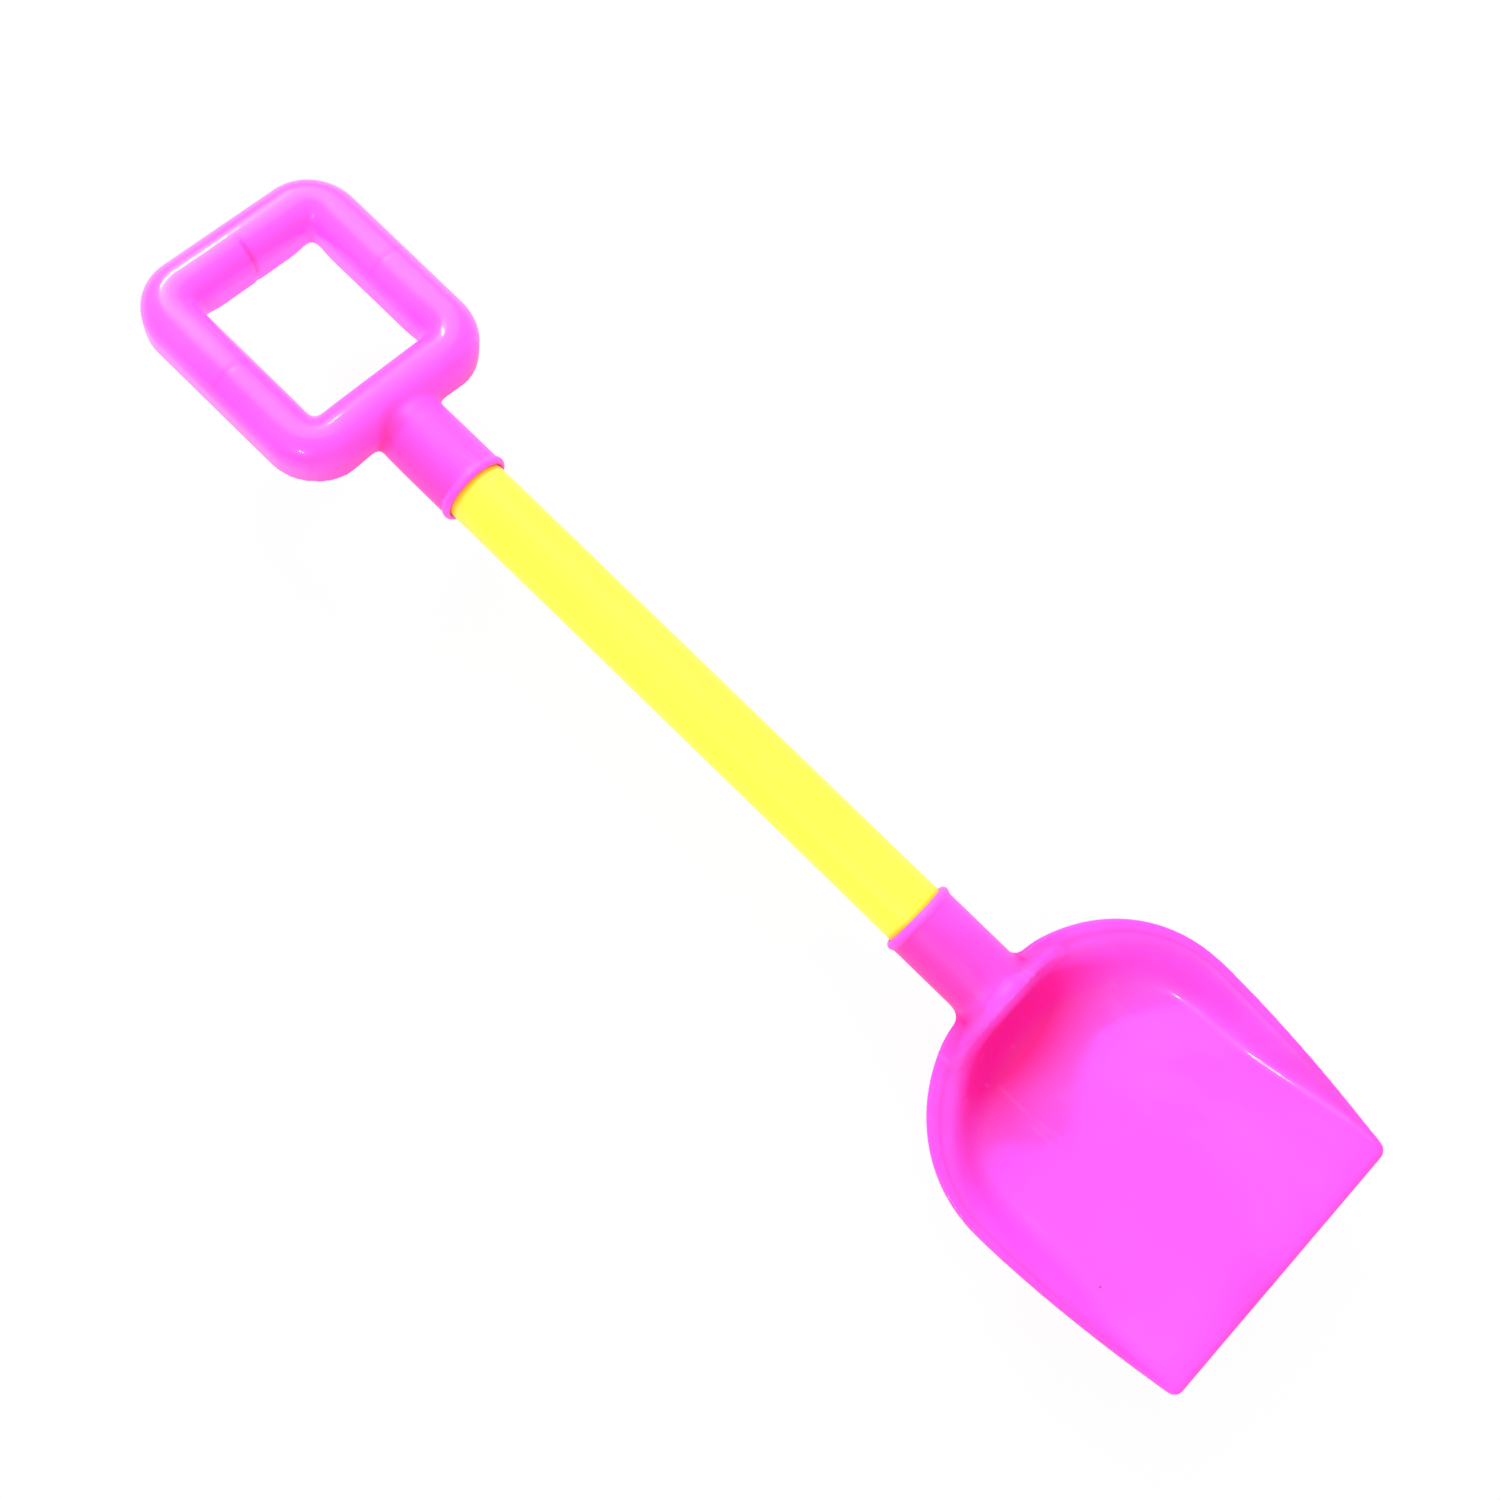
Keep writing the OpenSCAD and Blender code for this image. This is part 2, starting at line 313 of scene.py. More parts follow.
class EffectGroup:
    """A shader node group with named inputs and outputs, built once and placed in materials."""

    def __init__(self, name: str, inputs: dict[str, tuple[Socket, float | None]],
                 outputs: dict[str, Socket]) -> None:
        """Makes the empty group.

        Args:
            name: Name of the group.
            inputs: Kind and default of each input by name.
            outputs: Kind of each output by name.
        """
        self.group = bpy.data.node_groups.new(name, "ShaderNodeTree")
        sockets = self.group.interface
        for title, (kind, default) in inputs.items():
            socket = sockets.new_socket(name=title, in_out="INPUT", socket_type=kind.value)
            if default is not None:
                socket.default_value = default
        for title, kind in outputs.items():
            sockets.new_socket(name=title, in_out="OUTPUT", socket_type=kind.value)
        self.nodes = NodeTree(self.group)
        self.start = self.nodes.add("NodeGroupInput").outputs
        self.end = self.nodes.add("NodeGroupOutput").inputs

    def place(self, tree: NodeTree, **values: object) -> bpy.types.NodeOutputs:
        """Places the group in a material.

        Args:
            tree: Nodes of the material.
            values: Inputs by name, with underscores for spaces.

        Returns:
            The outputs of the placed group.
        """
        node = tree.add("ShaderNodeGroup")
        node.node_tree = self.group
        for title, value in values.items():
            tree.feed(node.inputs[title.replace("_", " ")], value)
        return node.outputs


class Effects:
    """The effects that the finishes share."""

    DRIFT_SPAN = (0.35, 0.7)
    DRIFT_DETAIL = 3.0
    DRIFT_WARP = 0.8
    SCUFF_STRETCH = (0.12, 1.0, 1.0)
    SCUFF_TURN = (0.0, 0.0, math.radians(24))
    SCUFF_DETAIL = 4.0
    SCUFF_SPAN = (0.56, 0.72)
    PATCH_SCALE = 22.0
    PATCH_DETAIL = 3.0
    PATCH_SPAN = (0.48, 0.68)

    def __init__(self) -> None:
        """Builds each group once."""
        self.drift = self.build_drift()
        self.scuffs = self.build_scuffs()
        self.skin = self.build_skin()

    def build_drift(self) -> EffectGroup:
        """Slow drift of the pigment in a moulded or drawn plastic.

        Returns:
            The group, which puts out a tinted colour.
        """
        group = EffectGroup(
            "pigment drift",
            {"Place": (Socket.VECTOR, None), "Colour": (Socket.COLOUR, None),
             "Drifted": (Socket.COLOUR, None), "Scale": (Socket.VALUE, 18.0),
             "Amount": (Socket.VALUE, 0.3)},
            {"Colour": Socket.COLOUR})
        nodes, start = group.nodes, group.start
        broad = nodes.noise(start["Place"], start["Scale"], self.DRIFT_DETAIL, self.DRIFT_WARP)
        share = nodes.math("MULTIPLY", nodes.ramp(broad, self.DRIFT_SPAN), start["Amount"])
        nodes.link(nodes.mix(share, start["Colour"], start["Drifted"]), group.end["Colour"])
        return group

    def build_scuffs(self) -> EffectGroup:
        """Fine rubbed scratches that dull a glossy surface.

        Returns:
            The group, which puts out a mask of scuffs.
        """
        group = EffectGroup(
            "rubbed scuffs",
            {"Place": (Socket.VECTOR, None), "Scale": (Socket.VALUE, 260.0),
             "Amount": (Socket.VALUE, 0.28)},
            {"Mask": Socket.VALUE})
        nodes, start = group.nodes, group.start
        stretch = nodes.add("ShaderNodeMapping")
        stretch.inputs["Scale"].default_value = self.SCUFF_STRETCH
        stretch.inputs["Rotation"].default_value = self.SCUFF_TURN
        nodes.link(start["Place"], stretch.inputs["Vector"])
        lines = nodes.noise(stretch.outputs["Vector"], start["Scale"], self.SCUFF_DETAIL)
        patches = nodes.noise(start["Place"], self.PATCH_SCALE, self.PATCH_DETAIL)
        mask = nodes.math("MULTIPLY", nodes.ramp(lines, self.SCUFF_SPAN),
                          nodes.ramp(patches, self.PATCH_SPAN))
        nodes.link(nodes.math("MULTIPLY", mask, start["Amount"]), group.end["Mask"])
        return group

    @staticmethod
    def build_skin() -> EffectGroup:
        """Height of the slightly uneven skin of a plastic part.

        Returns:
            The group, which puts out a height.
        """
        group = EffectGroup(
            "plastic skin",
            {"Place": (Socket.VECTOR, None), "Wave Scale": (Socket.VALUE, 45.0),
             "Grain Scale": (Socket.VALUE, 900.0), "Grain Amount": (Socket.VALUE, 0.12)},
            {"Height": Socket.VALUE})
        nodes, start = group.nodes, group.start
        wave = nodes.noise(start["Place"], start["Wave Scale"])
        grain = nodes.noise(start["Place"], start["Grain Scale"])
        fine = nodes.math("MULTIPLY", grain, start["Grain Amount"])
        nodes.link(nodes.math("ADD", wave, fine), group.end["Height"])
        return group


@dataclass(frozen=True)
class PlasticFinish:
    """A coloured plastic with pigment drift, a painted shade colour, pale edges of wear that also
    stand in for their highlight, scuffs and an uneven skin.
    """

    name: str
    colour: Colour
    drifted: Colour
    # Colour of the painted shade, mixed in by the painted shade mark.
    deep: Colour
    # Pale colour of worn edges and scuffs; along the edges it also stands in for a painted
    # highlight.
    pale_wear_and_highlight: Colour
    drift_scale: float
    drift_amount: float
    roughness: float
    scuffed_roughness: float
    coat: float
    skin_wave: float
    skin_grain: float
    skin_amount: float
    wear_and_highlight_amount: float
    pale_edge_bend: tuple[float, float] = (0.35, 0.9)
    ior: float = 1.49
    specular: float = 0.35
    coat_roughness: float = 0.06
    bump_strength: float = 0.12
    bump_height: float = 0.4 * MM
    specks: tuple[Place, ...] = ()
    speck_radius: float = 0.7 * MM
    speck_core: float = 0.28 * MM
    speck_strength: float = 0.8
    speck_colour: Colour = (0.35, 0.006, 0.10, 1.0)

    def material(self, effects: Effects) -> bpy.types.Material:
        """Builds the material.

        Args:
            effects: The shared effects.

        Returns:
            The finished material.
        """
        material = bpy.data.materials.new(self.name)
        material.use_nodes = True
        tree = NodeTree(material.node_tree)
        surface = material.node_tree.nodes["Principled BSDF"].inputs
        place = tree.add("ShaderNodeTexCoord").outputs["Object"]
        scuff = effects.scuffs.place(tree, Place=place)["Mask"]
        # Pale along bent edges: partly wear, partly a painted highlight along the edges.
        bent = tree.ramp(tree.mark(Mark.EDGE), self.pale_edge_bend)
        pale_wear_and_highlight = tree.math("MULTIPLY", bent, self.wear_and_highlight_amount)
        rubbed = tree.math("MULTIPLY", scuff, self.wear_and_highlight_amount)
        colour = tree.mix(pale_wear_and_highlight, self.pigment(tree, effects, place), self.pale_wear_and_highlight)
        colour = tree.mix(rubbed, colour, self.pale_wear_and_highlight)
        for centre in self.specks:
            colour = self.speck(tree, place, colour, centre)
        tree.link(colour, surface["Base Color"])
        self.polish(tree, surface, tree.math("MAXIMUM", scuff, pale_wear_and_highlight))
        tree.link(self.bump(tree, effects, place), surface["Normal"])
        surface["IOR"].default_value = self.ior
        surface["Specular IOR Level"].default_value = self.specular
        surface["Coat Roughness"].default_value = self.coat_roughness
        return material

    def pigment(self, tree: NodeTree, effects: Effects,
                place: bpy.types.NodeSocket) -> bpy.types.NodeSocket:
        """Colour of the plastic itself, mixed toward its painted shade colour where the painted
        shade mark is high.

        Args:
            tree: Nodes of the material.
            effects: The shared effects.
            place: Object coordinates.

        Returns:
            The colour.
        """
        drifting = effects.drift.place(
            tree, Place=place, Colour=self.colour, Drifted=self.drifted,
            Scale=self.drift_scale, Amount=self.drift_amount)["Colour"]
        # Painted shade: the colour is mixed toward the shade colour by the painted shade mark.
        return tree.mix(tree.mark(Mark.THICK), drifting, self.deep)

    def polish(self, tree: NodeTree, surface: bpy.types.NodeInputs,
               dull: bpy.types.NodeSocket) -> None:
        """Sets the gloss: duller where it is rubbed, and where the mould was not polished.

        Args:
            tree: Nodes of the material.
            surface: Inputs of the material's shader.
            dull: Mask of the rubbed places.
        """
        if self.coat > 0:
            gloss = tree.mark(Mark.GLOSS)
            dull = tree.math("MAXIMUM", dull, tree.math("SUBTRACT", 1.0, gloss))
            tree.link(tree.math("MULTIPLY", gloss, self.coat), surface["Coat Weight"])
        rough = tree.ramp(dull, to=(self.roughness, self.scuffed_roughness))
        tree.link(rough, surface["Roughness"])

    def bump(self, tree: NodeTree, effects: Effects,
             place: bpy.types.NodeSocket) -> bpy.types.NodeSocket:
        """Uneven skin of the plastic.

        Args:
            tree: Nodes of the material.
            effects: The shared effects.
            place: Object coordinates.

        Returns:
            The normal.
        """
        height = effects.skin.place(
            tree, Place=place, Wave_Scale=self.skin_wave, Grain_Scale=self.skin_grain,
            Grain_Amount=self.skin_amount)["Height"]
        bump = tree.add("ShaderNodeBump")
        bump.inputs["Strength"].default_value = self.bump_strength
        bump.inputs["Distance"].default_value = self.bump_height
        tree.link(height, bump.inputs["Height"])
        return bump.outputs["Normal"]

    def speck(self, tree: NodeTree, place: bpy.types.NodeSocket, colour: bpy.types.NodeSocket,
              centre: Place) -> bpy.types.NodeSocket:
        """Puts one dark speck of burnt plastic into a colour.

        Args:
            tree: Nodes of the material.
            place: Object coordinates.
            colour: The colour so far.
            centre: Middle of the speck.

        Returns:
            The colour with the speck.
        """
        distance = tree.add("ShaderNodeVectorMath", operation="DISTANCE")
        tree.link(place, distance.inputs[0])
        distance.inputs[1].default_value = centre
        mask = tree.ramp(distance.outputs["Value"], (self.speck_core, self.speck_radius),
                         (self.speck_strength, 0.0))
        return tree.mix(mask, colour, self.speck_colour)


@dataclass
class Piece:
    """A visible piece that takes the place of a node's solid."""

    node: str
    piece_name: str
    body: Body
    slot: Slot
    piece: bpy.types.Object = field(init=False, default=None)

    def store(self, mark: Mark, values: np.ndarray) -> None:
        """Stores one value for each vertex where the finish reads it.

        Args:
            mark: What the values tell.
            values: Values from 0 to 1.
        """
        attribute = self.piece.data.attributes.new(mark.value, "FLOAT", "POINT")
        attribute.data.foreach_set("value", values.astype(np.float32))

    def dress(self, material: bpy.types.Material) -> None:
        """Gives the piece its material and puts it in the node's place.

        Args:
            material: The finish.
        """
        self.piece.data.materials.append(material)
        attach(self.piece, self.body.value)
        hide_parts(self.node)


@dataclass
class Moulding(Piece):
    """A moulded piece: the solid of a node with the soft edges that a mould leaves."""

    slot: Slot = Slot.MOULD
    merge: float = 0.001 * MM
    grid: float = 0.5 * MM
    smooth_factor: float = 0.5
    smooth_passes: int = 6
    bend_passes: int = 3
    edge_reach: float = 0.9 * MM
    # Painted shade in creases: where the skin bends inwards the colour is mixed toward the shade
    # colour.
    crease_reach: float = 1.5 * MM
    crease_least: float = 0.15
    crease_shade_share: float = 0.6
    bore_skin: float = 0.6 * MM
    past_bead: Ramp = Ramp(2.4 * MM, 3.4 * MM)
    most_triangles: int = 190000

    def build(self, material: bpy.types.Material) -> bpy.types.Object:
        """Builds and dresses the piece.

        Args:
            material: The finish.

        Returns:
            The finished piece.
        """
        self.copy_solid()
        self.soften()
        self.shape()
        bend = self.bend()
        # Painted shade in the inward creases.
        crease = np.clip(-bend * self.crease_reach - self.crease_least, 0, 1)
        # Painted shade at each vertex, creases included.
        thick = np.clip(self.thickness() + self.crease_shade_share * crease, 0, 1)
        self.store(Mark.EDGE, np.clip(bend * self.edge_reach, 0, 1))
        self.store(Mark.THICK, thick)
        self.store(Mark.GLOSS, self.gloss())
        self.thin_out()
        self.dress(material)
        return self.piece

    def shape(self) -> None:
        """Shapes the skin beyond its even softness."""
        raise NotImplementedError

    def thickness(self) -> np.ndarray:
        """How far the colour is painted toward the shade colour at each vertex, from 0 to 1:
        painted shade.
        """
        raise NotImplementedError

    def gloss(self) -> np.ndarray:
        """How polished the mould was at each vertex, from 0 to 1."""
        raise NotImplementedError

    def copy_solid(self) -> None:
        """Copies the node's solid into a new piece and closes its loose triangles."""
        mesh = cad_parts[self.node].data.copy()
        mesh.name = self.piece_name
        mesh.materials.clear()
        self.piece = bpy.data.objects.new(self.piece_name, mesh)
        bpy.context.scene.collection.objects.link(self.piece)
        pick(self.piece)
        bpy.ops.object.mode_set(mode="EDIT")
        bpy.ops.mesh.select_all(action="SELECT")
        bpy.ops.mesh.remove_doubles(threshold=self.merge)
        bpy.ops.mesh.normals_make_consistent(inside=False)
        bpy.ops.object.mode_set(mode="OBJECT")

    def soften(self) -> None:
        """Lays an even skin over the solid and rounds its edges as a mould does."""
        skin = self.piece.modifiers.new("skin", "REMESH")
        skin.mode = "VOXEL"
        skin.voxel_size = self.grid
        skin.use_smooth_shade = True
        smooth = self.piece.modifiers.new("soft edges", "SMOOTH")
        smooth.factor = self.smooth_factor
        smooth.iterations = self.smooth_passes
        apply_modifiers(self.piece)

    def ease(self, name: str, weights: np.ndarray, passes: int) -> None:
        """Rounds a part of the skin more broadly.

        Args:
            name: Name for the vertex group.
            weights: Weight of each vertex.
            passes: Passes of smoothing.
        """
        weigh(self.piece, name, weights)
        smooth = self.piece.modifiers.new(name, "SMOOTH")
        smooth.vertex_group = name
        smooth.factor = self.smooth_factor
        smooth.iterations = passes
        apply_modifiers(self.piece)

    def sink(self, name: str, weights: np.ndarray, depth: float) -> None:
        """Draws the skin in where plastic has shrunk.

        Args:
            name: Name for the vertex group.
            weights: Weight of each vertex.
            depth: Greatest depth.
        """
        weigh(self.piece, name, weights)
        draw = self.piece.modifiers.new(name, "DISPLACE")
        draw.vertex_group = name
        draw.mid_level = 0.0
        draw.strength = -depth
        apply_modifiers(self.piece)

    def bend(self) -> np.ndarray:
        """How strongly the skin bends, outwards above 0 and inwards below.

        Returns:
            The bend at each vertex, per metre.
        """
        mesh = self.piece.data
        places, normals = points_of(self.piece), normals_of(self.piece)
        ends = np.zeros(len(mesh.edges) * 2, dtype=np.int64)
        mesh.edges.foreach_get("vertices", ends)
        first, second = ends.reshape(-1, 2).T
        tiny = 1e-12
        total = np.zeros(len(places))
        count = np.zeros(len(places))
        for near, far in ((first, second), (second, first)):
            step = places[far] - places[near]
            fall = -np.einsum("ij,ij->i", step, normals[near])
            square = np.einsum("ij,ij->i", step, step)
            np.add.at(total, near, 2 * fall / np.maximum(square, tiny))
            np.add.at(count, near, 1)
        count = np.maximum(count, 1)
        bend = total / count
        for _ in range(self.bend_passes):
            around = np.zeros(len(places))
            np.add.at(around, first, bend[second])
            np.add.at(around, second, bend[first])
            bend = (bend + around / count) / 2
        return bend

    def thin_out(self) -> None:
        """Takes triangles out of the skin where it is nearly flat, and shades it smooth."""
        triangles = 2 * len(self.piece.data.polygons)
        if triangles > self.most_triangles:
            fewer = self.piece.modifiers.new("fewer triangles", "DECIMATE")
            fewer.ratio = self.most_triangles / triangles
        apply_modifiers(self.piece)
        bpy.ops.object.shade_smooth()


@dataclass
class ScoopBlade(Moulding):
    """The scoop with its socket, rim and brow."""

    node: str = BLADE_NODE
    piece_name: str = "scoop_blade"
    body: Body = Body.ROOT
    socket_length: float = 30.0 * MM
    # Where the skin is rounded more broadly than the solid.
    web_place: Place = (4.5 * MM, 13.0 * MM, 1.5 * MM)
    web_near: Bell = Bell(0.0, 5.5 * MM)
    web_passes: int = 150
    rim_step: float = 0.25 * MM
    dish_depth: Ramp = Ramp(-1.25 * MM, 4.75 * MM)
    dish_facing: float = 0.1
    dish_off_front: Ramp = Ramp(7.0 * MM, 14.0 * MM)
    dish_passes: int = 500
    brow_lean: Ramp = Ramp(0.25, 0.65)
    back_run: Ramp = Ramp(60.0 * MM, 30.0 * MM)
    back_depth: Ramp = Ramp(3.0 * MM, 6.0 * MM)
    back_passes: int = 700
    # Where the colour is painted darker: painted shade under the brow, on the socket's shaded
    # side, along the front bevel and in the rim's step, and a darker band on the rim.
    brow_height: float = 15.2 * MM
    brow_width: Bell = Bell(0.0, 22.0 * MM)
    under_brow: Ramp = Ramp(1.8 * MM, 10.8 * MM)
    brow_shade_run: Bell = Bell(17.0 * MM, 19.0 * MM)
    brow_shade_side: Bell = Bell(-6.0 * MM, 38.0 * MM)
    brow_shade_gain: float = 1.42
    rim_facing: float = 0.3
    rim_share: float = 0.27
    rim_level: Bell = Bell(0.0, 1.6 * MM)
    rim_above: Ramp = Ramp(0.0, 4.8 * MM)
    front_bevel_shade: Bell = Bell(0.0, 4.0 * MM)
    step_shade_share: float = 0.42
    step_level: Bell = Bell(-rim_step, 0.2 * MM)
    step_off_front: float = 25.0 * MM
    socket_shade_share: float = 0.46
    socket_shade_lean: float = 0.24
    polished_run: Ramp = Ramp(11.0 * MM, 21.0 * MM)

    def run(self, place: np.ndarray) -> np.ndarray:
        """How far places lie in front of the socket's end."""
        return place[:, 0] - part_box(self.node)[0].x - self.socket_length

    def to_front(self, place: np.ndarray) -> np.ndarray:
        """How far places lie behind the front edge."""
        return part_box(self.node)[1].x - place[:, 0]

    def shape(self) -> None:
        """Rounds the webs' feet, the dish and the back of the dish."""
        self.ease("web feet", self.web_feet(), self.web_passes)
        self.ease("dish", self.dish(), self.dish_passes)
        self.ease("back of the dish", self.dish_back(), self.back_passes)

    def web_feet(self) -> np.ndarray:
        """Where the webs beside the socket run out into the rim, outside the bore.

        Returns:
            Weights from 0 to 1.
        """
        place = points_of(self.piece)
        side, rise = np.abs(place[:, 1]), place[:, 2] - axis_height()
        outside = np.hypot(side, rise) > tube_radius() + self.bore_skin
        off = np.stack((self.run(place), side, rise), axis=1) - np.array(self.web_place)
        return self.web_near.over(np.linalg.norm(off, axis=1)) * outside

    def dish(self) -> np.ndarray:
        """Where the skin is inside the dish: below its lip, and on the inner side of the brow.

        Returns:
            Weights from 0 to 1.
        """
        place, normal = points_of(self.piece), normals_of(self.piece)
        depth = axis_height() - place[:, 2]
        below = self.dish_depth.over(depth) * (depth > self.rim_step)
        brow = self.brow_lean.over(normal[:, 0]) * (depth < 0) * (self.run(place) > 0)
        inside = np.maximum(below, brow) * (normal[:, 2] > self.dish_facing)
        return inside * self.dish_off_front.over(self.to_front(place))

    def dish_back(self) -> np.ndarray:
        """Where the skin is at the back of the dish, below the brow.

        Returns:
            Weights from 0 to 1.
        """
        place, normal = points_of(self.piece), normals_of(self.piece)
        deep = self.back_depth.over(axis_height() - place[:, 2])
        return self.back_run.over(self.run(place)) * deep * (normal[:, 2] > self.dish_facing)

    def thickness(self) -> np.ndarray:
        """How far the colour is painted toward the shade colour: most as painted shade on the
        brow's inner side, less on the socket's shaded side and the rim.

        Returns:
            Shares from 0 to 1.
        """
        place, normal = points_of(self.piece), normals_of(self.piece)
        run, rise = self.run(place), place[:, 2] - axis_height()
        # Painted shade under the brow, at the back of the dish.
        crest = self.brow_height * self.brow_width.over(place[:, 1])
        near = self.brow_shade_run.over(run) * self.brow_shade_side.over(place[:, 1])
        brow_shade = self.under_brow.over(crest - rise) * np.clip(self.brow_shade_gain * near, 0, 1)
        brow_shade *= (normal[:, 2] > 0) * (run > 0)
        # Painted shade on the socket, darker on its -y side, which lies in shade.
        socket = self.socket_shade_share - self.socket_shade_lean * normal[:, 1]
        socket *= self.past_bead.over(run + self.socket_length) * (run <= 0)
        return brow_shade + (1 - brow_shade) * self.rim(place) * (normal[:, 2] > self.rim_facing) + socket

    def rim(self, place: np.ndarray) -> np.ndarray:
        """How dark the colour is painted on the rim and above it, with painted shade along the
        front bevel and a painted shade line in the step of the rim.

        Args:
            place: Places of the vertices.

        Returns:
            Shares from 0 to 1.
        """
        rise, to_front = place[:, 2] - axis_height(), self.to_front(place)
        rim = np.maximum(self.rim_level.over(rise), self.rim_above.over(rise))
        # Painted shade along the front bevel, and a darker band on the rim and above it.
        rim = self.rim_share * np.maximum(rim, self.front_bevel_shade.over(to_front))
        # Painted shade line in the rim's step.
        step = self.step_shade_share * self.step_level.over(rise) * (to_front > self.step_off_front)
        return np.maximum(rim, step) * (self.run(place) > 0)

    def gloss(self) -> np.ndarray:
        """How polished the mould was: the socket and the brow are duller than the dish."""
        return self.polished_run.over(self.run(points_of(self.piece)))


@dataclass
class RingGrip(Moulding):
    """The ring grip, with marks where its inner ribs have drawn the skin in."""

    node: str = GRIP_NODE
    piece_name: str = "ring_grip"
    body: Body = Body.GRIP
    turn: float = math.radians(-11)
    ring_length: float = 89.4 * MM
    ring_width: float = 83.2 * MM
    bar_width: float = 18.2 * MM
    ring_slack: float = 1.0 * MM
    # Where the skin is rounded more broadly than the solid, and where it is drawn in.
    corner_near: Bell = Bell(0.0, 4.5 * MM)
    corner_passes: int = 120
    foot_along: Bell = Bell(0.0, 6.5 * MM)
    foot_across: Bell = Bell(0.0, 14.0 * MM)
    foot_gain: float = 1.6
    foot_passes: int = 160
    bore_end: float = 1.5 * MM
    rib_width: Bell = Bell(0.0, 0.8 * MM)
    rib_depth: float = 0.3 * MM
    side_rib: float = 0.35
    side_rib_facing: Ramp = Ramp(0.3, 0.8)
    end_rib_facing: Ramp = Ramp(0.0, 0.5)
    corner_rib: float = 0.5
    corner_rib_facing: Ramp = Ramp(0.8, 0.3)
    # Where shade is painted: round the socket's foot, on the socket's shaded side, on outer sides
    # facing down, in the fold and over the rib marks.
    foot_shade_share: float = 0.25
    foot_shade_along: Bell = Bell(0.0, 0.9 * bar_width)
    foot_shade_across: Bell = Bell(0.0, 0.75 * bar_width)
    foot_shade_height: Ramp = Ramp(0.96 * bar_width, 0.36 * bar_width)
    socket_shade_share: float = 0.27
    socket_shade_lean: float = 0.2
    socket_start: Ramp = Ramp(0.0, 5.0 * MM)
    underside_shade_share: float = 0.5
    outer_facing: Ramp = Ramp(0.35, -0.15)
    outer_along: Ramp = Ramp(0.0, 36.0 * MM)
    outer_end: Ramp = Ramp(5.0 * MM, 0.0)
    fold_shade_share: float = 0.75
    fold_radius: Bell = Bell(12.8 * MM, 2.5 * MM)
    fold_along: Bell = Bell(0.5 * MM, 5.0 * MM)
    fold_side: Ramp = Ramp(15.0 * MM, -10.0 * MM)
    rib_shade_share: float = 0.45
    # Where the mould was less polished: the socket and the middle of the front bar.
    polished: Ramp = Ramp(0.0, 8.0 * MM)
    front_bar: Ramp = Ramp(bar_width + 4.0 * MM, bar_width)
    front_middle: Bell = Bell(0.0, bar_width)
    front_gain: float = 2.0
    front_dulled: float = 0.9

    def ring_places(self) -> np.ndarray:
        """Places of the skin seen from the middle of the ring, with the grip's turn taken out.

        Returns:
            One row of three coordinates for each vertex.
        """
        ring_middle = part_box(self.node)[0].x + self.ring_length / 2
        places = points_of(self.piece) - np.array((ring_middle, 0.0, axis_height()))
        back = np.array(Matrix.Rotation(-self.turn, 3, "X"))
        return places @ back.T

    def shape(self) -> None:
        """Rounds the inner corners and the socket's foot, and draws the skin in over the ribs."""
        self.ease("inner corners", self.inner_corners(), self.corner_passes)
        self.ease("foot", self.foot(), self.foot_passes)
        self.sink("rib marks", self.rib_marks(), self.rib_depth)

    def inner_corners(self) -> np.ndarray:
        """Weights round the four inner corners of the ring.

        Returns:
            Weights from 0 to 1.
        """
        along, across, _ = np.abs(self.ring_places()).T
        off_along = along - (self.ring_length / 2 - self.bar_width)
        off_across = across - (self.ring_width / 2 - self.bar_width)
        return self.corner_near.over(np.hypot(off_along, off_across))

    def foot(self) -> np.ndarray:
        """Weights where the socket runs into the ring, outside the bore.

        Returns:
            Weights from 0 to 1.
        """
        along, across, rise = self.ring_places().T
        tube_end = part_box(TUBE_NODE)[0].x
        in_bore = np.hypot(across, rise) < tube_radius() + self.bore_skin
        in_bore &= points_of(self.piece)[:, 0] > tube_end - self.bore_end
        near = self.foot_along.over(along - self.ring_length / 2)
        near *= np.clip(self.foot_gain * self.foot_across.over(across), 0, 1)
        return near * ~in_bore

    def rib_marks(self) -> np.ndarray:
        """Weights of the marks over the ribs at the middle of each bar and across each corner.

        Returns:
            Weights from 0 to 1.
        """
        place, normal = self.ring_places(), normals_of(self.piece)
        along, across = np.abs(place[:, 0]), np.abs(place[:, 1])
        off_end = along - (self.ring_length - self.bar_width) / 2
        off_side = across - (self.ring_width - self.bar_width) / 2
        side, end = off_side > -self.bar_width / 2, off_end > -self.bar_width / 2
        mid_side = self.side_rib * self.rib_width.over(place[:, 0]) * side
        mid_side *= self.side_rib_facing.over(normal[:, 2])
        mid_end = self.rib_width.over(place[:, 1]) * end * (place[:, 0] < 0)
        mid_end *= self.end_rib_facing.over(normal[:, 0])
        diagonal = np.abs(off_end - off_side) / math.sqrt(2)
        corner = self.corner_rib * self.rib_width.over(diagonal) * side * end * (place[:, 0] > 0)
        corner *= self.corner_rib_facing.over(normal[:, 2])
        in_ring = along < self.ring_length / 2 + self.ring_slack
        return np.clip(mid_side + mid_end + corner, 0, 1) * in_ring

    def thickness(self) -> np.ndarray:
        """How far the colour is painted toward the shade colour: most as painted shade in the
        fold where the socket meets the ring.

        Returns:
            Shares from 0 to 1.
        """
        along, across, rise = self.ring_places().T
        normal = normals_of(self.piece)
        past_ring = along - self.ring_length / 2
        to_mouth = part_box(self.node)[1].x - points_of(self.piece)[:, 0]
        # Painted shade low round the socket's foot.
        foot = self.foot_shade_share * self.foot_shade_along.over(past_ring)
        foot *= self.foot_shade_across.over(across) * self.foot_shade_height.over(rise)
